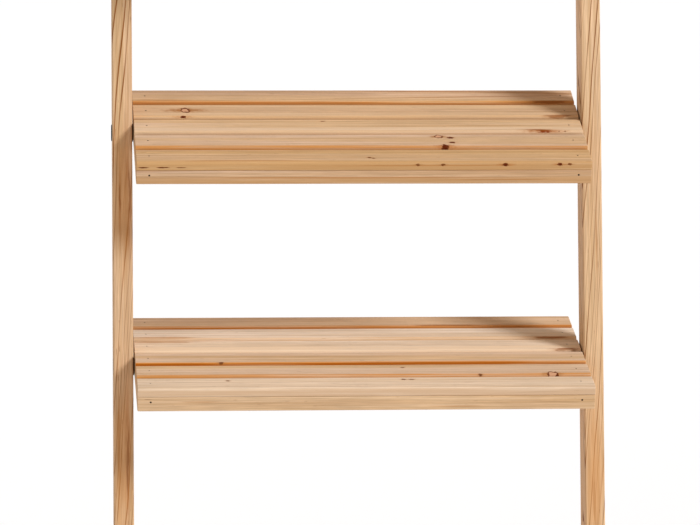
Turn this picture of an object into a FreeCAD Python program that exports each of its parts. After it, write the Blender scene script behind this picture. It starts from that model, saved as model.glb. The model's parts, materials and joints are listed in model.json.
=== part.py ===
"""Four-tier leaning ladder shelf, with slatted shelves that turn on clamped side bolts.

Millimetres. +X runs along the shelves, +Y points to the wall, +Z is up.
The origin is the middle of the bounding box, on the floor.
"""
import FreeCAD, Part
import math
import os

from FreeCAD import Vector

# ---- driving dimensions --------------------------------------------------------------
OVERALL_WIDTH = 500.0      # outside to outside of the two uprights
TOTAL_HEIGHT = 1000.0
LEAN_DEG = 20.0            # uprights lean back to the wall by this much
UPRIGHT_WIDTH = 20.0
UPRIGHT_DEPTH = 40.0       # square to the leaning length
WALL_BEVEL_HEIGHT = 40.0   # upright top cut plumb, so that it lies flat on the wall
UPRIGHT_EDGE_RADIUS = 1.6

SIDE_GAP = 1.5             # between a shelf's end and the upright beside it
SLAT_WIDTH = 33.0
SLAT_THICKNESS = 9.0
SLAT_GAP = 5.5
SLAT_TOP_RADIUS = 3.0      # the two upper long edges are rounded over
SLAT_LOWER_RADIUS = 0.8
APRON_HEIGHT = 15.0
APRON_THICKNESS = 9.0
APRON_SETBACK = 0.4        # behind the front edge of the front slat
APRON_EDGE_RADIUS = 0.8
CLEAT_HEIGHT = 17.0
CLEAT_WIDTH = 20.0
CLEAT_BACK_INSET = 2.0
CLEAT_EDGE_RADIUS = 1.0
END_CHAMFER = 0.4          # broken arris on every sawn end

# Tiers count from the top: slats, pivot to the shelf's back edge, pivot height,
# forward droop at which the bolts hold the shelf (degrees), how far bolt heads stand out
TIERS = {
    1: (4, 35.5, 851.0, 1.0, 0.0),
    2: (5, 72.0, 627.0, 8.0, 1.0),
    3: (6, 106.0, 403.0, 0.5, 0.0),
    4: (7, 141.0, 153.0, 0.5, 0.0),
}

PIVOT_RADIUS = 4.5
PIVOT_CLEARANCE = 0.05
BOLT_RADIUS = 3.0
BOLT_CLEARANCE = 0.1
BOLT_HEAD_RADIUS = 8.8
BOLT_HEAD_THICKNESS = 1.6
BOLT_REACH = 32.0          # under the head
COUNTERBORE_CLEARANCE = 0.2
SLEEVE_FLANGE_RADIUS = 7.5
SLEEVE_FLANGE_THICKNESS = 1.8
SLEEVE_BORE_DEPTH = 17.0
SOCKET_RADIUS = 2.3        # hexagon socket, centre to corner
SOCKET_DEPTH = 1.1
WASHER_RADIUS = 9.0
WASHER_THICKNESS = 1.2
WASHER_PLAY = 0.1
FLANGE_PLAY = 0.3

NAIL_RADIUS = 0.6
NAIL_LENGTH = 21.0
NAIL_HEAD_RADIUS = 1.0
NAIL_HEAD_HEIGHT = 0.8
NAIL_SUNK = 0.4            # head set below the wood
NAIL_FROM_END = 13.0
APRON_NAIL_DROP = 5.5      # below the apron's top edge

PAD_THICKNESS = 3.0
PAD_INSET = 1.0
BRACKET_LEG = 26.0
BRACKET_HEIGHT = 28.0
BRACKET_THICKNESS = 2.0
BRACKET_TOP_DROP = 4.0
WALL_HOLE_RADIUS = 2.75
WALL_HOLE_FROM_SIDE = 15.0
SCREW_RADIUS = 1.8
SCREW_LENGTH = 14.0
SCREW_HEAD_RADIUS = 3.6
SCREW_HEAD_HEIGHT = 2.0
SCREW_SPACING = 15.0
SCREW_FROM_WALL = 15.0
CROSS_SLOT_LENGTH = 3.6
CROSS_SLOT_WIDTH = 0.9
CROSS_SLOT_DEPTH = 1.0

# ---- sizes that follow from them -----------------------------------------------------
LEAN = math.radians(LEAN_DEG)
OUTER_X = OVERALL_WIDTH / 2
INNER_X = OUTER_X - UPRIGHT_WIDTH
SHELF_END_X = INNER_X - SIDE_GAP
SLAT_LENGTH = 2 * SHELF_END_X
SLAT_PITCH = SLAT_WIDTH + SLAT_GAP
HALF_DEPTH_LEVEL = UPRIGHT_DEPTH / math.cos(LEAN) / 2
CLEAT_HALF = CLEAT_HEIGHT / 2
BEVEL_START = TOTAL_HEIGHT - WALL_BEVEL_HEIGHT
X_AXIS = Vector(1, 0, 0)
CENTRE = Vector(0, 0, 0)


def centreline_y(z):
    """Middle of an upright at height z, from the middle of its foot."""
    return z * math.tan(LEAN)


WALL_Y = centreline_y(BEVEL_START) + HALF_DEPTH_LEVEL


def pivot_of(tier):
    """Where a tier's pivot axis crosses the YZ plane."""
    height = TIERS[tier][2]
    return Vector(0, centreline_y(height), height)


def shelf_depth(tier):
    slat_count = TIERS[tier][0]
    return slat_count * SLAT_PITCH - SLAT_GAP


# ---- shared shapes -------------------------------------------------------------------
def edges_along_x(shape):
    return [e for e in shape.Edges if e.BoundBox.YLength < 1e-6 and e.BoundBox.ZLength < 1e-6]


def edges_around_ends(shape):
    return [e for e in shape.Edges if e.BoundBox.XLength < 1e-6]


def shelf_bar(y_low, y_high, z_low, z_high, top_radius, lower_radius):
    """Planed bar as long as the shelf: long edges rounded, ends sawn square with the arris broken."""
    corner = Vector(-SHELF_END_X, y_low, z_low)
    bar = Part.makeBox(SLAT_LENGTH, y_high - y_low, z_high - z_low, corner)
    middle_z = (z_low + z_high) / 2
    top_edges = [e for e in edges_along_x(bar) if e.CenterOfMass.z > middle_z]
    bar = bar.makeFillet(top_radius, top_edges)
    lower_edges = [e for e in edges_along_x(bar) if e.CenterOfMass.z < z_low + 1e-6]
    bar = bar.makeFillet(lower_radius, lower_edges)
    return bar.makeChamfer(END_CHAMFER, edges_around_ends(bar))


def rod_along_x(x_start, x_end, radius):
    """Cylinder on the X axis."""
    return Part.makeCylinder(radius, x_end - x_start, Vector(x_start, 0, 0), X_AXIS)


def turned(profile):
    """Solid of revolution about X, from (x, radius) points that start and end on the axis."""
    points = [Vector(x, radius, 0) for x, radius in profile]
    points.append(points[0])
    return Part.Face(Part.makePolygon(points)).revolve(CENTRE, X_AXIS, 360)


def hex_socket(x_start, x_end):
    corners = []
    for step in range(7):
        angle = math.radians(60 * step)
        corners.append(Vector(x_start, SOCKET_RADIUS * math.cos(angle), SOCKET_RADIUS * math.sin(angle)))
    return Part.Face(Part.makePolygon(corners)).extrude(Vector(x_end - x_start, 0, 0))


def moved(shape, offset):
    copy = shape.copy()
    copy.translate(offset)
    return copy


def mirrored(shape):
    """The same piece on the other side of the shelf."""
    return shape.mirror(CENTRE, X_AXIS)


def both_sides(shape):
    return [shape, mirrored(shape)]


def nail_and_hole(top, direction):
    """A brad driven from top along direction, and the hole that it leaves in the wood."""
    head_top = top + direction * NAIL_SUNK
    head = Part.makeCylinder(NAIL_HEAD_RADIUS, NAIL_HEAD_HEIGHT, head_top, direction)
    shank = Part.makeCylinder(NAIL_RADIUS, NAIL_LENGTH, head_top, direction)
    above = top - direction * NAIL_HEAD_RADIUS
    mouth_depth = NAIL_HEAD_RADIUS + NAIL_SUNK + NAIL_HEAD_HEIGHT
    mouth = Part.makeCylinder(NAIL_HEAD_RADIUS, mouth_depth, above, direction)
    nail = head.fuse(shank).removeSplitter()
    return nail, mouth.fuse(shank).removeSplitter()


# ---- one shelf, about its own pivot axis ---------------------------------------------
def make_shelf(tier):
    """Slats, apron, cleats and brads, level, with the pivot on the X axis."""
    slat_count, back_y = TIERS[tier][:2]
    front_y = back_y - shelf_depth(tier)
    top_z = CLEAT_HALF + SLAT_THICKNESS
    apron_front = front_y + APRON_SETBACK
    apron_back = apron_front + APRON_THICKNESS
    apron_bottom = CLEAT_HALF - APRON_HEIGHT
    nail_x = SHELF_END_X - NAIL_FROM_END

    apron = shelf_bar(apron_front, apron_back, apron_bottom, CLEAT_HALF,
                      APRON_EDGE_RADIUS, APRON_EDGE_RADIUS)
    cleat = Part.makeBox(CLEAT_WIDTH, back_y - CLEAT_BACK_INSET - apron_back, CLEAT_HEIGHT,
                         Vector(-SHELF_END_X, apron_back, -CLEAT_HALF))
    long_edges = [e for e in cleat.Edges if e.BoundBox.YLength > 1]
    cleat = cleat.makeFillet(CLEAT_EDGE_RADIUS, long_edges)
    bore = rod_along_x(-OUTER_X, 0, PIVOT_RADIUS + PIVOT_CLEARANCE)
    cleat = cleat.cut(bore)

    slats = []
    nails = []
    holes = []
    for index in range(slat_count):
        slat_back = back_y - index * SLAT_PITCH
        slat_front = slat_back - SLAT_WIDTH
        slats.append(shelf_bar(slat_front, slat_back, CLEAT_HALF, top_z,
                               SLAT_TOP_RADIUS, SLAT_LOWER_RADIUS))
        nail_top = Vector(-nail_x, (slat_front + slat_back) / 2, top_z)
        nail, hole = nail_and_hole(nail_top, Vector(0, 0, -1))
        nails.append(nail)
        holes.append(hole)
    apron_nail_top = Vector(-nail_x, apron_front, CLEAT_HALF - APRON_NAIL_DROP)
    nail, hole = nail_and_hole(apron_nail_top, Vector(0, 1, 0))
    nails.append(nail)
    holes.append(hole)

    left_holes = Part.makeCompound(holes)
    cleat = cleat.cut(left_holes)
    pieces = {}
    for index, slat in enumerate(slats):
        slat_holes = Part.makeCompound(both_sides(holes[index]))
        pieces[f"slat_{index + 1}"] = slat.cut(slat_holes)
    pieces["apron"] = apron.cut(Part.makeCompound(both_sides(holes[-1])))
    pieces["left_cleat"] = cleat
    pieces["right_cleat"] = mirrored(cleat)
    pieces["nails"] = Part.makeCompound(nails + [mirrored(nail) for nail in nails])
    return pieces


def place_shelf(tier, shape):
    """Droop a shelf's piece to where its bolts hold it, and lift it to its pivot."""
    droop = TIERS[tier][3]
    placed = shape.copy()
    placed.rotate(CENTRE, X_AXIS, droop)
    placed.translate(pivot_of(tier))
    return placed


# ---- pivot hardware, left side, on the X axis ----------------------------------------
def head_face_x(tier):
    """Outer face of a left bolt's head."""
    return -OUTER_X - TIERS[tier][4]


def make_bolt(tier):
    """Flat-headed joint connector bolt with a hexagon socket."""
    face = head_face_x(tier)
    under_head = face + BOLT_HEAD_THICKNESS
    tip = under_head + BOLT_REACH
    bolt = turned([
        (face, 0),
        (face, BOLT_HEAD_RADIUS - 0.9),
        (face + 0.5, BOLT_HEAD_RADIUS - 0.2),
        (face + 1.0, BOLT_HEAD_RADIUS),
        (under_head, BOLT_HEAD_RADIUS),
        (under_head, BOLT_RADIUS),
        (tip - 0.6, BOLT_RADIUS),
        (tip, BOLT_RADIUS - 0.6),
        (tip, 0),
    ])
    return bolt.cut(hex_socket(face - 0.1, face + SOCKET_DEPTH))


def make_bolt_hole(tier):
    """Through hole in the upright, counterbored for the bolt's head."""
    seat = head_face_x(tier) + BOLT_HEAD_THICKNESS
    counterbore = rod_along_x(-OUTER_X - 1, seat, BOLT_HEAD_RADIUS + COUNTERBORE_CLEARANCE)
    hole = rod_along_x(-OUTER_X - 1, -INNER_X + 1, BOLT_RADIUS + BOLT_CLEARANCE)
    return counterbore.fuse(hole)


def make_sleeve_nut():
    """Flanged barrel nut: the smooth journal that the cleat turns on."""
    flange_start = -SHELF_END_X + CLEAT_WIDTH + FLANGE_PLAY
    flange_end = flange_start + SLEEVE_FLANGE_THICKNESS
    nut = turned([
        (-INNER_X, 0),
        (-INNER_X, PIVOT_RADIUS),
        (flange_start, PIVOT_RADIUS),
        (flange_start, SLEEVE_FLANGE_RADIUS),
        (flange_end - 0.8, SLEEVE_FLANGE_RADIUS),
        (flange_end, SLEEVE_FLANGE_RADIUS - 0.8),
        (flange_end, 0),
    ])
    nut = nut.cut(rod_along_x(-INNER_X - 1, -INNER_X + SLEEVE_BORE_DEPTH, BOLT_RADIUS))
    return nut.cut(hex_socket(flange_end - SOCKET_DEPTH, flange_end + 0.1))


def make_washer():
    ring = rod_along_x(-INNER_X, -INNER_X + WASHER_THICKNESS, WASHER_RADIUS)
    return ring.cut(rod_along_x(-OUTER_X, 0, PIVOT_RADIUS + WASHER_PLAY))


# ---- uprights and what is on them ----------------------------------------------------
def make_upright():
    """Left upright: foot cut level, top cut level and plumb, four long edges eased."""
    def side_point(side, z):
        return Vector(-OUTER_X, centreline_y(z) + side * HALF_DEPTH_LEVEL, z)

    outline = [
        side_point(-1, PAD_THICKNESS),
        side_point(-1, TOTAL_HEIGHT),
        Vector(-OUTER_X, WALL_Y, TOTAL_HEIGHT),
        Vector(-OUTER_X, WALL_Y, BEVEL_START),
        side_point(1, PAD_THICKNESS),
    ]
    outline.append(outline[0])
    bar = Part.Face(Part.makePolygon(outline)).extrude(Vector(UPRIGHT_WIDTH, 0, 0))
    long_edges = [e for e in bar.Edges if e.Length > TOTAL_HEIGHT * 0.9]
    bar = bar.makeFillet(UPRIGHT_EDGE_RADIUS, long_edges)

    for tier in TIERS:
        bar = bar.cut(moved(make_bolt_hole(tier), pivot_of(tier)))
    for place in bracket_screw_places():
        bar = bar.cut(moved(rod_along_x(-SCREW_LENGTH, 1, SCREW_RADIUS), place))
    return bar


def make_foot_pad():
    depth = 2 * (HALF_DEPTH_LEVEL - PAD_INSET)
    width = UPRIGHT_WIDTH - 2 * PAD_INSET
    middle = centreline_y(PAD_THICKNESS)
    corner = Vector(-OUTER_X + PAD_INSET, middle - depth / 2, 0)
    pad = Part.makeBox(width, depth, PAD_THICKNESS, corner)
    upright_edges = [e for e in pad.Edges if e.BoundBox.ZLength > 1]
    return pad.makeFillet(2.0, upright_edges)


def bracket_screw_places():
    """Where the two bracket screws enter the left upright's inner side."""
    middle_z = TOTAL_HEIGHT - BRACKET_TOP_DROP - BRACKET_HEIGHT / 2
    return [Vector(-INNER_X, WALL_Y - SCREW_FROM_WALL, middle_z + side * SCREW_SPACING / 2)
            for side in (-1, 1)]


def make_wall_bracket():
    """Steel angle: one leg on the upright's inner side, the other flat on the wall."""
    low_z = TOTAL_HEIGHT - BRACKET_TOP_DROP - BRACKET_HEIGHT
    side_leg = Part.makeBox(BRACKET_THICKNESS, BRACKET_LEG, BRACKET_HEIGHT,
                            Vector(-INNER_X, WALL_Y - BRACKET_LEG, low_z))
    wall_leg = Part.makeBox(BRACKET_LEG, BRACKET_THICKNESS, BRACKET_HEIGHT,
                            Vector(-INNER_X, WALL_Y - BRACKET_THICKNESS, low_z))
    bracket = side_leg.fuse(wall_leg).removeSplitter()
    inner_bend = [e for e in bracket.Edges if e.BoundBox.ZLength > 1
                  and abs(e.CenterOfMass.x + INNER_X - BRACKET_THICKNESS) < 1e-6
                  and abs(e.CenterOfMass.y - WALL_Y + BRACKET_THICKNESS) < 1e-6]
    bracket = bracket.makeFillet(1.5, inner_bend)
    for place in bracket_screw_places():
        bracket = bracket.cut(moved(rod_along_x(-1, BRACKET_THICKNESS + 1, SCREW_RADIUS), place))
    wall_hole = Part.makeCylinder(WALL_HOLE_RADIUS, BRACKET_THICKNESS + 2,
                                  wall_hole_place() - Vector(0, BRACKET_THICKNESS + 1, 0),
                                  Vector(0, 1, 0))
    return bracket.cut(wall_hole)


def wall_hole_place():
    """Middle of the left bracket's wall screw hole, on the wall's plane."""
    middle_z = TOTAL_HEIGHT - BRACKET_TOP_DROP - BRACKET_HEIGHT / 2
    return Vector(-INNER_X + WALL_HOLE_FROM_SIDE, WALL_Y, middle_z)


def make_bracket_screw():
    """Pan-head wood screw with a cross recess, entering the upright at the X origin."""
    head_start = BRACKET_THICKNESS
    head_end = head_start + SCREW_HEAD_HEIGHT
    screw = turned([
        (-SCREW_LENGTH, 0),
        (3 - SCREW_LENGTH, SCREW_RADIUS),
        (head_start, SCREW_RADIUS),
        (head_start, SCREW_HEAD_RADIUS),
        (head_end - 0.9, SCREW_HEAD_RADIUS),
        (head_end, SCREW_HEAD_RADIUS - 1.2),
        (head_end, 0),
    ])
    half_long = CROSS_SLOT_LENGTH / 2
    half_wide = CROSS_SLOT_WIDTH / 2
    start = head_end - CROSS_SLOT_DEPTH
    tall = Part.makeBox(2, CROSS_SLOT_WIDTH, CROSS_SLOT_LENGTH, Vector(start, -half_wide, -half_long))
    flat = Part.makeBox(2, CROSS_SLOT_LENGTH, CROSS_SLOT_WIDTH, Vector(start, -half_long, -half_wide))
    return screw.cut(tall.fuse(flat))


# ---- the whole shelf -----------------------------------------------------------------
def build():
    nodes = {}

    def add_pair(name, left_shape):
        nodes[f"left_{name}"] = left_shape
        nodes[f"right_{name}"] = mirrored(left_shape)

    add_pair("upright", make_upright())
    add_pair("foot_pad", make_foot_pad())
    add_pair("wall_bracket", make_wall_bracket())
    screws = []
    for place in bracket_screw_places():
        screws += both_sides(moved(make_bracket_screw(), place))
    nodes["bracket_screws"] = Part.makeCompound(screws)

    hardware = {"washers": make_washer(), "sleeve_nuts": make_sleeve_nut()}
    for tier in TIERS:
        hardware["bolts"] = make_bolt(tier)
        for name, left_shape in hardware.items():
            pair = both_sides(moved(left_shape, pivot_of(tier)))
            nodes[f"tier_{tier}_{name}"] = Part.makeCompound(pair)
        for name, shape in make_shelf(tier).items():
            nodes[f"tier_{tier}_{name}"] = place_shelf(tier, shape)
    return nodes


def main():
    nodes = build()
    box = FreeCAD.BoundBox()
    for shape in nodes.values():
        box.add(shape.optimalBoundingBox())
    to_origin = Vector(0, -(box.YMin + box.YMax) / 2, -box.ZMin)
    os.makedirs("parts", exist_ok=True)
    for name, shape in nodes.items():
        moved(shape, to_origin).exportStep(f"parts/{name}.step")
    print(f"{len(nodes)} nodes, {box.XLength:.2f} x {box.YLength:.2f} x {box.ZLength:.2f} mm")
    for tier in TIERS:
        print("pivot", tier, pivot_of(tier) + to_origin)
    print("wall hole", wall_hole_place() + to_origin)
    print("foot middle", Vector(-OUTER_X + UPRIGHT_WIDTH / 2, centreline_y(PAD_THICKNESS), 0) + to_origin)


main()
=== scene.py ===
"""Looks of the ladder shelf: planed fir boards, clamped bolts, brackets, floor, light and camera.

Metres, in the frame's own axes: +X along the shelves, +Y to the wall, +Z up.
"""

import json
import math
import random

import bpy
from mathutils import Matrix, Vector


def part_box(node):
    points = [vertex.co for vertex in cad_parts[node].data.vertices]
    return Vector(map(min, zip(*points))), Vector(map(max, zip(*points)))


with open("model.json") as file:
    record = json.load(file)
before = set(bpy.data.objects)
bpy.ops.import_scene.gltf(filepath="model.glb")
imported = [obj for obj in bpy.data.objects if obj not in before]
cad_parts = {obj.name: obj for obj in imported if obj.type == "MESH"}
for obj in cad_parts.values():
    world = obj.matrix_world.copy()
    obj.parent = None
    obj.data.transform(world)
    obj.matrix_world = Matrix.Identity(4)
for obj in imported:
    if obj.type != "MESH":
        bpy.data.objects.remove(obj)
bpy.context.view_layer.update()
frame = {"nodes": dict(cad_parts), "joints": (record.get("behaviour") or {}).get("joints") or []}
scene = bpy.context.scene

MM = 0.001
TIERS = {1: 4, 2: 5, 3: 6, 4: 7}      # slats in each tier, tiers counted from the top


# ---- colours -------------------------------------------------------------------------
def linear(red, green, blue):
    """Linear colour from 8-bit sRGB values."""
    def channel(value):
        c = value / 255
        return c / 12.92 if c <= 0.04045 else ((c + 0.055) / 1.055) ** 2.4
    return (channel(red), channel(green), channel(blue), 1.0)


PINK_PALE = linear(214, 182, 151)
PALE = linear(224, 197, 167)
YELLOW_PALE = linear(210, 174, 132)
TAN = linear(204, 168, 130)
HONEY = linear(202, 162, 114)
LATEWOOD = linear(160, 108, 62)
UPRIGHT_LATEWOOD = linear(136, 84, 38)
ORANGE_PALE = linear(212, 168, 118)
ORANGE = linear(198, 134, 70)
ORANGE_DEEP = linear(164, 96, 38)
SHADE_BROWN = linear(120, 66, 26)
FLECK_BROWN = linear(112, 62, 28)
KNOT_RIM = linear(98, 44, 14)
KNOT_DARK = linear(90, 30, 6)
KNOT_HEART = linear(206, 158, 124)
PITCH_RED = linear(128, 54, 14)
END_GRAIN = (0.80, 0.72, 0.64, 1.0)
WARM_PALE = linear(232, 202, 168)
SLAT_TOP_GAIN = (0.985, 1.02, 1.085, 1.0)     # tint of the slats' tops against their edges

# ---- wood and camera -----------------------------------------------------------------
WOOD_SPECULAR = 0.03                          # matt, almost no sheen
WOOD_BUMP_STRENGTH = 0.22
WOOD_BUMP_DISTANCE = 0.00025
BAND_WAVE = 0.004                             # how far the edge of a colour band wanders, in metres
CAMERA_PLACE = (-0.3486, -4.1936, 1.8017)
CAMERA_TURN = (4.615, 17.051, 1.167)          # heading, downward tilt and roll, in degrees
CAMERA_LENS = 222.9
FLOOR_REACH = 60.0
FLOOR_DROP = 0.0005                           # keeps the floor off the pads' undersides


# ---- node building -------------------------------------------------------------------
class Tree:
    """Short ways to add nodes to one node tree. A value is a number, a tuple or a socket."""

    def __init__(self, tree):
        self.tree = tree

    def node(self, kind, **settings):
        made = self.tree.nodes.new(kind)
        for name, value in settings.items():
            setattr(made, name, value)
        return made

    def feed(self, socket, value):
        if isinstance(value, bpy.types.NodeSocket):
            self.tree.links.new(value, socket)
        elif value is not None:
            socket.default_value = value

    def math(self, operation, a, b=None, clamp=False):
        made = self.node("ShaderNodeMath", operation=operation, use_clamp=clamp)
        for socket, value in zip(made.inputs, (a, b)):
            self.feed(socket, value)
        return made.outputs[0]

    def vector(self, operation, a, b=None):
        made = self.node("ShaderNodeVectorMath", operation=operation)
        for socket, value in zip(made.inputs, (a, b)):
            self.feed(socket, value)
        return made.outputs["Value" if operation in ("LENGTH", "DOT_PRODUCT") else "Vector"]

    def step(self, value, low, high, out_low=0.0, out_high=1.0):
        """Smooth step of value from low to high."""
        made = self.node("ShaderNodeMapRange", interpolation_type="SMOOTHSTEP")
        for name, given in zip(("Value", "From Min", "From Max", "To Min", "To Max"),
                               (value, low, high, out_low, out_high)):
            self.feed(made.inputs[name], given)
        return made.outputs["Result"]

    def noise(self, vector, scale, detail=2.0, roughness=0.5, dimensions="3D"):
        made = self.node("ShaderNodeTexNoise", noise_dimensions=dimensions)
        self.feed(made.inputs["W" if dimensions == "1D" else "Vector"], vector)
        for name, value in (("Scale", scale), ("Detail", detail), ("Roughness", roughness)):
            self.feed(made.inputs[name], value)
        return made.outputs[0]

    def mix(self, factor, a, b, blend="MIX"):
        made = self.node("ShaderNodeMix", data_type="RGBA", blend_type=blend)
        for socket, value in zip((made.inputs[0], made.inputs[6], made.inputs[7]), (factor, a, b)):
            self.feed(socket, value)
        return made.outputs[2]

    def split(self, vector):
        made = self.node("ShaderNodeSeparateXYZ")
        self.feed(made.inputs[0], vector)
        return made.outputs

    def join(self, x, y, z):
        made = self.node("ShaderNodeCombineXYZ")
        for socket, value in zip(made.inputs, (x, y, z)):
            self.feed(socket, value)
        return made.outputs[0]

    def group(self, group, **inputs):
        made = self.node("ShaderNodeGroup", node_tree=group)
        for name, value in inputs.items():
            self.feed(made.inputs[name], value)
        return made.outputs


def new_group(name, inputs, outputs):
    """Empty node group with its sockets, as (group, tree helper, input sockets, output sockets)."""
    group = bpy.data.node_groups.new(name, "ShaderNodeTree")
    kinds = {"f": "NodeSocketFloat", "v": "NodeSocketVector", "c": "NodeSocketColor"}
    for way, sockets in (("INPUT", inputs), ("OUTPUT", outputs)):
        for socket_name, kind in sockets.items():
            group.interface.new_socket(socket_name, in_out=way, socket_type=kinds[kind])
    tree = Tree(group)
    return group, tree, tree.node("NodeGroupInput").outputs, tree.node("NodeGroupOutput").inputs


# ---- fir -----------------------------------------------------------------------------
def ring_pattern(t, given, place):
    """Strength of the latewood: rings about a pith that runs off-centre, tapered and uneven."""
    along, across, through = t.split(given["Local"])
    slow = t.noise(t.vector("MULTIPLY", place, (2.2, 22.0, 22.0)), 1.0, 2.0)
    shift = t.math("MULTIPLY", t.math("SUBTRACT", slow, 0.5), given["Wander"])
    from_pith = t.join(0.0, t.math("SUBTRACT", across, given["Pith y"]),
                       t.math("SUBTRACT", through, given["Pith z"]))
    radius = t.vector("LENGTH", from_pith)
    radius = t.math("ADD", t.math("ADD", radius, shift), given["Bend"])
    radius = t.math("ADD", radius, t.math("MULTIPLY", along, given["Taper"]))
    rings = t.math("DIVIDE", radius, given["Ring"])
    uneven = t.noise(rings, 0.55, 1.0, dimensions="1D")
    rings = t.math("ADD", rings, t.math("MULTIPLY", uneven, 1.6))
    phase = t.math("FRACT", rings)
    late = t.math("MULTIPLY", t.step(phase, given["Line"], 0.93), t.step(phase, 1.0, 0.955))

    ring_tone = t.noise(rings, 0.8, 0.0, dimensions="1D")
    length_tone = t.noise(t.vector("MULTIPLY", place, (5.0, 160.0, 160.0)), 1.0, 2.0)
    strength = t.math("MULTIPLY", t.step(ring_tone, 0.35, 0.7, 0.15, 1.0),
                      t.step(length_tone, 0.3, 0.7, 0.45, 1.0))
    return t.math("MULTIPLY", t.math("MULTIPLY", late, strength), given["Contrast"], clamp=True)


def fine_tones(t, color, place, fibre):
    """Colour with its fine lines, fibres, broad clouds and small flecks."""
    lines = t.noise(t.vector("MULTIPLY", place, (4.0, 520.0, 520.0)), 1.0, 3.0, 0.66)
    line_tone = t.step(lines, 0.30, 0.70)
    line_tint = t.mix(line_tone, (0.85, 0.79, 0.70, 1), (1.07, 1.085, 1.11, 1))
    color = t.mix(1.0, color, line_tint, "MULTIPLY")
    fibre_tone = t.step(fibre, 0.25, 0.75, 0.85, 1.13)
    color = t.mix(1.0, color, t.join(fibre_tone, fibre_tone, fibre_tone), "MULTIPLY")
    cloud = t.noise(t.vector("MULTIPLY", place, (7.0, 26.0, 26.0)), 1.0, 3.0)
    cloud_tone = t.step(cloud, 0.25, 0.75, 0.94, 1.05)
    color = t.mix(1.0, color, t.join(cloud_tone, cloud_tone, cloud_tone), "MULTIPLY")
    fleck = t.noise(t.vector("MULTIPLY", place, (75.0, 900.0, 900.0)), 1.0, 1.0)
    flecks = t.math("MULTIPLY", t.step(fleck, 0.73, 0.79), 0.55)
    return t.mix(flecks, color, FLECK_BROWN)


def make_fir_group():
    """Solid texture of sawn fir. Local is board-local: x along the grain, y across, z through."""
    group, t, given, result = new_group(
        "fir",
        {"Local": "v", "Seed": "v", "Pith y": "f", "Pith z": "f", "Ring": "f", "Taper": "f",
         "Wander": "f", "Bend": "f", "Contrast": "f", "Line": "f",
         "Early": "c", "Early 2": "c", "Late": "c"},
        {"Color": "c", "Roughness": "f", "Height": "f"})
    place = t.vector("ADD", given["Local"], given["Seed"])
    late = ring_pattern(t, given, place)
    zone = t.noise(t.vector("MULTIPLY", place, (1.3, 60.0, 30.0)), 1.0, 1.0)
    color = t.mix(t.step(zone, 0.40, 0.60), given["Early"], given["Early 2"])
    color = t.mix(late, color, given["Late"])
    fibre = t.noise(t.vector("MULTIPLY", place, (30.0, 1300.0, 1300.0)), 1.0, 3.0, 0.62)
    color = fine_tones(t, color, place, fibre)

    rough = t.math("ADD", t.step(fibre, 0.2, 0.8, 0.50, 0.62), t.math("MULTIPLY", late, -0.06))
    height = t.math("ADD", t.math("MULTIPLY", late, 0.6), t.math("MULTIPLY", fibre, 0.5))
    t.feed(result["Color"], color)
    t.feed(result["Roughness"], rough)
    t.feed(result["Height"], height)
    return group


def make_mark_shape_group():
    """Shape of one mark, a wood mark or a patch of painted shade: ellipsoid at Centre with
    half-sizes Size. Its streak runs out along the grain.
    """
    group, t, given, result = new_group(
        "mark_node", {"Local": "v", "Centre": "v", "Size": "v", "Streak": "f"},
        {"Core": "f", "Rim": "f", "Halo": "f", "Bend": "f"})
    offset = t.vector("SUBTRACT", given["Local"], given["Centre"])
    size = given["Size"]
    scaled = t.vector("DIVIDE", offset, size)
    around = t.vector("ADD", scaled, t.vector("MULTIPLY", given["Centre"], (90.0, 900.0, 900.0)))
    wobble = t.noise(around, 1.3, 3.0)
    wobble = t.math("MULTIPLY", t.math("SUBTRACT", wobble, 0.5), 1.5)
    uneven = t.math("ADD", t.vector("LENGTH", scaled), wobble)
    t.feed(result["Core"], t.step(uneven, 1.08, 0.80))
    rim = t.math("MULTIPLY", t.step(uneven, 0.62, 0.86), t.step(uneven, 1.3, 1.02))
    t.feed(result["Rim"], rim)
    x, y, z = t.split(size)
    long_size = t.join(t.math("MULTIPLY", x, given["Streak"]), t.math("MULTIPLY", y, 1.25),
                       t.math("MULTIPLY", z, 1.25))
    far = t.math("ADD", t.vector("LENGTH", t.vector("DIVIDE", offset, long_size)),
                 t.math("MULTIPLY", wobble, 0.6))
    t.feed(result["Halo"], t.step(far, 1.15, 0.15))
    wide = t.vector("MULTIPLY", long_size, (0.9, 2.2, 2.2))
    near = t.step(t.vector("LENGTH", t.vector("DIVIDE", offset, wide)), 1.0, 0.0)
    t.feed(result["Bend"], t.math("MULTIPLY", near, t.math("MULTIPLY", y, 1.3)))
    return group


FIR = make_fir_group()
MARK_SHAPE = make_mark_shape_group()

# kinds of mark: colour of the core, the rim and the halo, and how strong each is. "shade" is painted
# shadow, not a mark in the wood
MARKS = {
    "ring": (KNOT_HEART, KNOT_RIM, LATEWOOD, 0.85, 1.0, 0.95),
    "dark": (KNOT_DARK, KNOT_RIM, ORANGE_DEEP, 0.97, 0.8, 0.7),
    "speck": (FLECK_BROWN, FLECK_BROWN, LATEWOOD, 0.9, 0.3, 0.6),
    "pitch": (PITCH_RED, PITCH_RED, ORANGE_DEEP, 0.95, 0.4, 0.95),
    "streak": (LATEWOOD, LATEWOOD, ORANGE, 0.35, 0.0, 0.45),
    # painted shadow: a dark brown core with a deep orange halo
    "shade": (SHADE_BROWN, SHADE_BROWN, ORANGE_DEEP, 0.45, 0.0, 0.75),
    # an orange patch, painted shade where it lies on the left upright under a shelf
    "warm_tone_and_shade": (ORANGE, ORANGE, ORANGE, 0.12, 0.0, 0.42),
}
BENDING_MARKS = ("ring", "dark", "speck", "pitch")  # the rings run around these


def local_frame(origin, along, across):
    """Board-local axes as a matrix: x along the grain, y across, z through."""
    x = along.normalized()
    z = x.cross(across).normalized()
    y = z.cross(x)
    axes = Matrix((x, y, z)).transposed().to_4x4()
    return Matrix.Translation(origin) @ axes


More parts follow.
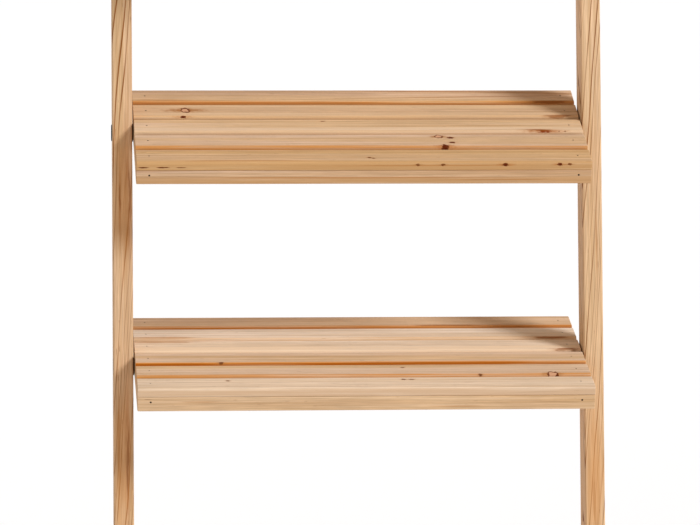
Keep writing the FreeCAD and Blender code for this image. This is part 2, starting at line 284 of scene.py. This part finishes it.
def board_coordinates(t, place):
    """Board-local position, and how squarely a face is cut across the grain."""
    texture_space = t.node("ShaderNodeTexCoord").outputs
    mapping = t.node("ShaderNodeMapping", vector_type="TEXTURE")
    t.feed(mapping.inputs["Vector"], texture_space["Object"])
    mapping.inputs["Location"].default_value = place.to_translation()
    mapping.inputs["Rotation"].default_value = place.to_euler("XYZ")
    facing = t.vector("DOT_PRODUCT", texture_space["Normal"], place.to_3x3().col[0])
    return mapping.outputs[0], t.step(t.math("ABSOLUTE", facing), 0.7, 0.95)


def place_marks(t, local, marks):
    """The marks' node groups by kind, painted shade among them, and how far they push the rings
    aside.
    """
    placed_marks = []
    bend = 0.0
    for kind, *numbers, streak in marks:
        numbers = [number * MM for number in numbers]
        mark_node = t.group(MARK_SHAPE, Local=local, Centre=numbers[:3], Size=numbers[3:], Streak=streak)
        placed_marks.append((kind, mark_node))
        if kind in BENDING_MARKS:
            bend = t.math("ADD", bend, mark_node["Bend"])
    return placed_marks, bend


def tint_bands(t, color, local, seed, bands):
    """Colour with each band of the board laid over it, uneven and with a wavy edge."""
    axes = t.split(local)
    shifted = t.vector("ADD", local, seed)
    for axis, start, end, tint, strength in bands:
        wave = t.noise(t.vector("MULTIPLY", shifted, (5.0, 60.0, 60.0)), 1.0, 2.0)
        wave = t.math("MULTIPLY", t.math("SUBTRACT", wave, 0.5), BAND_WAVE)
        edge = t.step(t.math("ADD", axes["XYZ".index(axis)], wave), start * MM, end * MM)
        uneven = t.noise(t.vector("MULTIPLY", shifted, (7.0, 500.0, 500.0)), 1.0, 2.0)
        amount = t.math("MULTIPLY", edge, t.step(uneven, 0.32, 0.6, 0.35 * strength, strength))
        color = t.mix(amount, color, tint)
    return color


def tint_marks(t, color, height, placed_marks):
    """Colour and relief with the marks in them; the "shade" marks are painted shadow."""
    for kind, mark_node in placed_marks:
        core_tint, rim_tint, halo_tint, core, rim, halo = MARKS[kind]
        color = t.mix(t.math("MULTIPLY", mark_node["Halo"], halo), color, halo_tint)
        color = t.mix(t.math("MULTIPLY", mark_node["Core"], core), color, core_tint)
        color = t.mix(t.math("MULTIPLY", mark_node["Rim"], rim), color, rim_tint)
        height = t.math("SUBTRACT", height, t.math("MULTIPLY", mark_node["Rim"], 0.8))
    return color, height


def fir_material(name, place, rng, early=PINK_PALE, early_2=YELLOW_PALE, late=LATEWOOD,
                 pith=(0.004, -0.045), ring=2.6, taper=0.004, wander=0.006, contrast=0.6,
                 line=0.55, bands=(), marks=()):
    """Fir for one board. Bands are (axis, from, to, colour, strength), and marks are
    (kind, centre x y z, half-size x y z, streak), both board-local and in millimetres."""
    material = bpy.data.materials.new(name)
    material.use_nodes = True
    t = Tree(material.node_tree)
    shader = material.node_tree.nodes["Principled BSDF"]
    local, sawn_end = board_coordinates(t, place)
    seed = tuple(rng.uniform(-9, 9) for _ in range(3))
    placed_marks, bend = place_marks(t, local, marks)
    wood = t.group(FIR, Local=local, Seed=seed, Ring=ring * MM, Taper=taper, Wander=wander,
                   Bend=bend, Contrast=contrast, Line=line, Early=early, Late=late,
                   **{"Pith y": pith[0], "Pith z": pith[1], "Early 2": early_2})
    color = tint_bands(t, wood["Color"], local, seed, bands)
    color = t.mix(sawn_end, color, t.mix(1.0, color, END_GRAIN, "MULTIPLY"))
    color, height = tint_marks(t, color, wood["Height"], placed_marks)
    bump = t.node("ShaderNodeBump")
    bump.inputs["Strength"].default_value = WOOD_BUMP_STRENGTH
    bump.inputs["Distance"].default_value = WOOD_BUMP_DISTANCE
    t.feed(bump.inputs["Height"], height)
    t.feed(shader.inputs["Base Color"], color)
    t.feed(shader.inputs["Roughness"], wood["Roughness"])
    t.feed(shader.inputs["Normal"], bump.outputs[0])
    shader.inputs["Specular IOR Level"].default_value = WOOD_SPECULAR
    return material


def dress(node_name, material):
    """Gives a CAD node its material."""
    mesh = frame["nodes"][node_name].data
    mesh.materials.clear()
    mesh.materials.append(material)
    for polygon in mesh.polygons:
        polygon.material_index = 0


def middle(node_name):
    low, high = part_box(node_name)
    return (low + high) / 2


def dress_board(name, along, across, rng, **look):
    """Gives a board fir of its own, with the grain along it."""
    place = local_frame(middle(name), along, across)
    dress(name, fir_material(f"fir_{name}", place, rng, **look))


# ---- boards --------------------------------------------------------------------------
RIGHT = Vector((1, 0, 0))
LEFT = Vector((-1, 0, 0))


def to_back(tier):
    """Unit vector from a shelf's front to its back, in the plane of its slats."""
    last = TIERS[tier]
    return (middle(f"tier_{tier}_slat_1") - middle(f"tier_{tier}_slat_{last}")).normalized()


def front_edge_and_gap_shade(color, strength, core=None):
    """Colour of a slat's rounded front edge, where the latewood runs out; on the slats behind the
    front one it is also painted shade of the gap in front of them. The core line is painted shade at
    the bottom of that gap.
    """
    bands = [("Y", -12.2, -14.4, color, strength)]
    if core:
        bands.append(("Y", -14.6, -15.8, core, strength))
    return bands


# painted highlight: the rounded back edge of a slat made paler, where it catches the light
PAINTED_BACK_EDGE_HIGHLIGHT = [("Y", 14.0, 15.8, PALE, 0.5)]

# the "shade" marks below are painted shadow on the slats' front edges, strongest near the right
# ends, where the right upright's shadow falls
SLAT_LOOKS = {
    (2, 1): dict(
        early=linear(209, 173, 139), early_2=YELLOW_PALE, pith=(0.004, -0.018), ring=3.6,
        taper=0.016, contrast=0.8,
        bands=front_edge_and_gap_shade(linear(206, 146, 84), 0.95, linear(182, 118, 62)),
        marks=[
            ("streak", -195, -12, 3, 34, 2.4, 3, 1.6),
            ("shade", 203, -14.5, 3, 20, 1.8, 4, 1.5)]),
    (2, 2): dict(
        early=TAN, early_2=YELLOW_PALE, pith=(0.05, -0.03), ring=4.5, contrast=0.4,
        bands=[("Y", -4.0, -8.0, linear(214, 182, 146), 0.7), *front_edge_and_gap_shade(ORANGE_PALE, 0.6)],
        marks=[
            ("ring", -175, 0, 4, 4.2, 5.0, 9, 6.5),
            ("dark", -178, -15, 3, 3.2, 1.3, 2, 5.0),
            ("shade", 208, -14, 3, 14, 2.4, 4, 1.6)]),
    (2, 3): dict(
        early=YELLOW_PALE, early_2=PINK_PALE, pith=(-0.03, -0.03), ring=4.8, contrast=0.4,
        bands=[("Y", -3.0, -7.0, PALE, 0.6), *front_edge_and_gap_shade(ORANGE_PALE, 0.4)],
        marks=[
            ("speck", -36, 10, 4.5, 2.5, 1, 2, 2.0),
            ("pitch", 189, -14.5, 3, 7, 1.8, 3, 4.5),
            ("shade", 184, -12.5, 4, 13, 2.0, 3, 1.8),
            ("speck", 204, -15, 3, 1.0, 0.8, 2, 1.5),
            ("speck", 210, -15, 3, 1.2, 0.8, 2, 1.5)]),
    (2, 4): dict(
        early=linear(208, 175, 144), early_2=linear(204, 168, 128), pith=(0.06, -0.04),
        ring=4.0, contrast=0.4,
        bands=front_edge_and_gap_shade(ORANGE, 0.9),
        marks=[
            ("ring", 79, 9, 4.5, 3.6, 3.4, 5, 3.0),
            ("dark", 91, 6, 4.5, 2.8, 2.0, 3, 2.2),
            ("dark", 92, -6, 4.5, 2.8, 1.7, 3, 2.2),
            ("dark", 84, -14.5, 3, 3.4, 3.6, 4, 4.0)]),
    (2, 5): dict(
        early=HONEY, early_2=TAN, pith=(0.045, -0.03), ring=5.5, contrast=0.5,
        bands=[*PAINTED_BACK_EDGE_HIGHLIGHT, *front_edge_and_gap_shade(linear(190, 146, 97), 0.85)],
        marks=[
            ("streak", -120, -12.5, 4, 70, 1.6, 2, 1.6),
            ("streak", 60, -16, 1, 130, 1, 1.1, 1.2),
            ("speck", 5, -5, 4.5, 2.0, 1.4, 2, 2.5),
            ("speck", 9, -7, 4.5, 1.6, 1.0, 2, 2.5),
            ("speck", 53, -16, 1.6, 2.0, 1.6, 1.3, 3.5),
            ("speck", 78, -16, 1.6, 2.2, 1.6, 1.3, 3.5),
            ("dark", 141, -16, 1.6, 2.6, 2, 1.5, 4.5),
            ("dark", 196, -16, 1.8, 2.4, 1.6, 1.3, 4.5),
            ("speck", 206, -16, 2.0, 2.4, 1.6, 1.1, 3.0),
            ("dark", -222, -16, -1, 5, 1.5, 0.6, 1.5),
            ("dark", -202, -16, -1, 6, 1.5, 0.55, 1.5),
            ("speck", -184, -16, -1, 5, 1.5, 0.5, 1.5)]),
    (3, 1): dict(
        early=linear(226, 190, 156), early_2=linear(214, 178, 140), pith=(0.0, -0.06), ring=4.2,
        contrast=0.4,
        bands=front_edge_and_gap_shade(ORANGE, 0.9, linear(176, 104, 40)),
        marks=[("shade", 100, -13.5, 3, 46, 1.6, 4, 1.8)]),
    (3, 2): dict(
        early=linear(232, 208, 182), early_2=PALE, pith=(0.055, -0.03), ring=4.4, contrast=0.35,
        bands=front_edge_and_gap_shade(ORANGE_PALE, 0.6),
        marks=[
            ("streak", -198, -12, 4, 34, 2.6, 3, 1.5),
            ("shade", 200, -14.5, 3, 20, 1.6, 4, 1.8)]),
    (3, 3): dict(
        early=linear(228, 203, 175), early_2=PALE, pith=(-0.05, -0.03), ring=5.0, contrast=0.35,
        bands=[("Y", -2.0, -6.0, WARM_PALE, 0.8)],
        marks=[
            ("streak", -200, 12, 4, 32, 2.6, 3, 1.5),
            ("shade", 214, -14, 3, 12, 2.4, 4, 1.8)]),
    (3, 4): dict(
        early=PINK_PALE, early_2=YELLOW_PALE, pith=(0.05, -0.04), ring=4.0, contrast=0.4,
        bands=[*PAINTED_BACK_EDGE_HIGHLIGHT, *front_edge_and_gap_shade(linear(206, 138, 66), 1.0, linear(168, 92, 24))],
        marks=[("speck", -142, -14.5, 3.5, 2.4, 2.0, 2, 3.0)]),
    (3, 5): dict(
        early=PINK_PALE, early_2=YELLOW_PALE, pith=(0.02, -0.05), ring=4.6, contrast=0.4,
        bands=[*PAINTED_BACK_EDGE_HIGHLIGHT, *front_edge_and_gap_shade(ORANGE, 1.0)],
        marks=[
            ("ring", 190, -14.0, 3, 4.8, 4.4, 5, 2.5),
            ("speck", 117, -15, 3, 2.2, 1.5, 2, 2.5),
            ("speck", 40, 6, 4.5, 2.0, 1.2, 2, 2.0)]),
    (3, 6): dict(
        early=PALE, early_2=linear(220, 192, 160), pith=(0.055, -0.02), ring=4.5, contrast=0.4,
        bands=[*PAINTED_BACK_EDGE_HIGHLIGHT, ("Y", -15.0, -16.4, linear(202, 169, 136), 0.9)],
        marks=[
            ("speck", -138, 6, 4.5, 1.8, 1.4, 2, 2.5),
            ("speck", 38, 8, 4.5, 2.2, 1.6, 2, 2.5),
            ("speck", 46, 8, 4.5, 2.8, 1.4, 2, 2.5)]),
}
APRON_LOOKS = {
    2: dict(
        early=linear(203, 172, 145), early_2=linear(202, 167, 132), pith=(0.03, 0.02), ring=4.0,
        contrast=0.55, wander=0.008,
        bands=[("Z", 0.5, -1.5, linear(190, 146, 98), 0.75)],
        marks=[
            ("streak", -20, -4.5, -0.5, 190, 2, 0.8, 1.2),
            ("streak", 150, -4.5, -2.6, 60, 2, 0.5, 1.4)]),
    3: dict(
        early=linear(212, 180, 144), early_2=linear(204, 168, 128), pith=(0.04, -0.01),
        ring=5.0, contrast=0.25,
        marks=[
            ("streak", -165, -4.5, 2.2, 21, 2, 0.4, 1.4),
            ("streak", 91, -4.5, -3.7, 26, 2, 0.45, 1.4)]),
}


def random_marks(rng):
    """A few knots and specks at random, for a board with no marks of its own."""
    marks = []
    for _ in range(rng.choice((0, 1, 1, 2))):
        size = rng.uniform(2.0, 5.0)
        kind = rng.choice(("ring", "dark", "speck", "speck"))
        along, across = rng.uniform(-205, 205), rng.uniform(-13, 13)
        half_width = size * rng.uniform(0.6, 1.1)
        marks.append((kind, along, across, 4, size, half_width, 6, rng.uniform(1.8, 4.5)))
    return marks


def dress_slat(tier, number, back, rng):
    look = dict(
        early=rng.choice((PINK_PALE, TAN, PINK_PALE)),
        early_2=rng.choice((YELLOW_PALE, PALE, YELLOW_PALE)),
        pith=(rng.choice((-1, 1)) * rng.uniform(0.02, 0.055), rng.uniform(-0.05, -0.02)),
        ring=rng.uniform(3.4, 5.2), taper=rng.uniform(-0.006, 0.006),
        contrast=rng.uniform(0.35, 0.55), marks=random_marks(rng),
        bands=[*PAINTED_BACK_EDGE_HIGHLIGHT,
               *front_edge_and_gap_shade(rng.choice((ORANGE, ORANGE_PALE)), rng.uniform(0.5, 1.0))])
    look.update(SLAT_LOOKS.get((tier, number), {}))
    for tone in ("early", "early_2"):
        look[tone] = tuple(a * b for a, b in zip(look[tone], SLAT_TOP_GAIN))
    dress_board(f"tier_{tier}_slat_{number}", RIGHT, back, rng, **look)


def dress_apron(tier, back, rng):
    look = dict(early=PINK_PALE, early_2=YELLOW_PALE, pith=(0.035, rng.uniform(-0.02, 0.02)),
                ring=rng.uniform(2.8, 4.2), contrast=0.4)
    look.update(APRON_LOOKS.get(tier, {}))
    dress_board(f"tier_{tier}_apron", RIGHT, back, rng, **look)


def dress_cleats(tier, back, rng):
    for side in ("left", "right"):
        dress_board(f"tier_{tier}_{side}_cleat", back, LEFT, rng, early=TAN, ring=3.0,
                    pith=(rng.uniform(-0.03, 0.03), -0.03))


def dress_shelf(tier, rng):
    back = to_back(tier)
    for number in range(1, TIERS[tier] + 1):
        dress_slat(tier, number, back, rng)
    dress_apron(tier, back, rng)
    dress_cleats(tier, back, rng)


UPRIGHT_LOOKS = {
    "left": dict(
        early=linear(203, 169, 130), early_2=linear(209, 174, 139), taper=-0.075,
        # painted shade: the orange patches and "shade" streaks darken the left upright below each
        # shelf, where that shelf's shadow falls
        marks=[
            ("warm_tone_and_shade", 70, 0, -20, 60, 10, 16, 1.7),
            ("warm_tone_and_shade", -200, 0, -20, 60, 10, 16, 2.0),
            ("shade", 66, 6, -20, 34, 3.4, 9, 2.6),
            ("shade", 70, -3, -20, 30, 1.8, 9, 2.6),
            ("shade", -190, 4, -20, 50, 2.6, 9, 2.2),
            ("streak", -170, -5, -20, 60, 1.8, 9, 1.6)]),
    "right": dict(
        early=linear(216, 182, 144), early_2=linear(220, 186, 152), taper=-0.1,
        marks=[
            ("warm_tone_and_shade", -230, 0, -20, 80, 10, 16, 1.8),
            ("streak", 30, 4, -20, 50, 1.2, 9, 1.8),
            ("streak", -240, 0, -20, 60, 4, 9, 1.8)]),
}


def dress_uprights(rng):
    pivots = [Vector(joint["pos_m"]) for joint in frame["joints"]]
    lean = (pivots[0] - pivots[-1]).normalized()
    for side, look in UPRIGHT_LOOKS.items():
        dress_board(f"{side}_upright", lean, RIGHT, rng, late=UPRIGHT_LATEWOOD,
                    pith=(-0.09, -0.03), ring=4.2, wander=0.024, contrast=1.4, line=0.6, **look)


# ---- metal and rubber ----------------------------------------------------------------
def plain_material(name, color, worn, metallic, roughness, scale=900.0, bump_distance=0.00005,
                   specular=0.5):
    """Metal or rubber: two tones mottled at a fine scale, with matching roughness and relief."""
    material = bpy.data.materials.new(name)
    material.use_nodes = True
    t = Tree(material.node_tree)
    shader = material.node_tree.nodes["Principled BSDF"]
    coordinates = t.node("ShaderNodeTexCoord").outputs["Object"]
    fine = t.noise(coordinates, scale, 4.0, 0.6)
    broad = t.noise(coordinates, scale / 9, 3.0, 0.5)
    blend = t.math("MULTIPLY", t.step(fine, 0.35, 0.7), t.step(broad, 0.3, 0.7))
    t.feed(shader.inputs["Base Color"], t.mix(blend, color, worn))
    t.feed(shader.inputs["Roughness"],
           t.step(t.math("ADD", fine, broad), 0.7, 1.3, roughness - 0.08, roughness + 0.1))
    bump = t.node("ShaderNodeBump")
    bump.inputs["Strength"].default_value = 0.3
    bump.inputs["Distance"].default_value = bump_distance
    t.feed(bump.inputs["Height"], fine)
    t.feed(shader.inputs["Normal"], bump.outputs[0])
    shader.inputs["Metallic"].default_value = metallic
    shader.inputs["Specular IOR Level"].default_value = specular
    return material


def dress_hardware():
    bronze = plain_material("bolt_bronze", linear(26, 19, 16), linear(46, 35, 29), 0.5, 0.55,
                            specular=0.2)
    washer = plain_material("washer_steel", linear(34, 26, 21), linear(58, 47, 39), 0.5, 0.55,
                            specular=0.2)
    zinc = plain_material("bracket_zinc", linear(176, 178, 182), linear(208, 210, 212), 1.0, 0.38,
                          320.0)
    brad = plain_material("brad_steel", linear(12, 7, 5), linear(26, 17, 13), 0.0, 0.8,
                          specular=0.08)
    rubber = plain_material("pad_rubber", linear(38, 38, 39), linear(58, 57, 56), 0.0, 0.8, 1400.0)
    by_ending = {"_bolts": bronze, "_sleeve_nuts": bronze, "_washers": washer, "_nails": brad,
                 "_bracket": zinc, "_screws": zinc, "_pad": rubber}
    for name in frame["nodes"]:
        for ending, material in by_ending.items():
            if name.endswith(ending):
                dress(name, material)


# ---- surroundings --------------------------------------------------------------------
def make_floor():
    mesh = bpy.data.meshes.new("floor")
    turns = ((-1, -1), (1, -1), (1, 1), (-1, 1))
    corners = [(x * FLOOR_REACH, y * FLOOR_REACH, 0) for x, y in turns]
    mesh.from_pydata(corners, [], [(0, 1, 2, 3)])
    floor = bpy.data.objects.new("floor", mesh)
    floor.location.z = -FLOOR_DROP
    scene.collection.objects.link(floor)
    material = bpy.data.materials.new("floor")
    material.use_nodes = True
    shader = material.node_tree.nodes["Principled BSDF"]
    shader.inputs["Base Color"].default_value = (0.975, 0.985, 1.0, 1)
    shader.inputs["Roughness"].default_value = 0.9
    shader.inputs["Specular IOR Level"].default_value = 0.1
    mesh.materials.append(material)


def sun(name, azimuth, elevation, strength, spread, color=(1, 1, 1)):
    """Soft directional light, by where it comes from: azimuth counts from the front to the right."""
    data = bpy.data.lights.new(name, "SUN")
    data.energy = strength * math.pi
    data.angle = math.radians(spread)
    data.color = color
    light = bpy.data.objects.new(name, data)
    a, e = math.radians(azimuth), math.radians(elevation)
    source = Vector((math.sin(a) * math.cos(e), -math.cos(a) * math.cos(e), math.sin(e)))
    light.rotation_euler = source.to_track_quat("Z", "Y").to_euler()
    scene.collection.objects.link(light)


def make_light():
    world = bpy.data.worlds.new("studio")
    scene.world = world
    world.use_nodes = True
    background = world.node_tree.nodes["Background"]
    background.inputs["Color"].default_value = (1.0, 0.895, 0.79, 1)
    background.inputs["Strength"].default_value = 0.46
    sun("key", 62, 38, 0.905, 17, (0.975, 1.02, 1.08))
    sun("left_fill", -60, 20, 0.15, 50, (1.0, 0.98, 0.95))
    scene.view_settings.view_transform = "Standard"


def make_camera():
    data = bpy.data.cameras.new("camera")
    data.sensor_width = 36.0
    data.lens = CAMERA_LENS
    data.clip_end = 200.0
    camera = bpy.data.objects.new("camera", data)
    camera.location = CAMERA_PLACE
    heading, down, roll = (math.radians(angle) for angle in CAMERA_TURN)
    turn = Matrix.Rotation(-heading, 4, "Z") @ Matrix.Rotation(math.pi / 2 - down, 4, "X")
    camera.rotation_euler = (turn @ Matrix.Rotation(roll, 4, "Z")).to_euler()
    scene.collection.objects.link(camera)
    scene.camera = camera


rng = random.Random(7)
for tier in TIERS:
    dress_shelf(tier, rng)
dress_uprights(rng)
dress_hardware()
make_floor()
make_light()
make_camera()
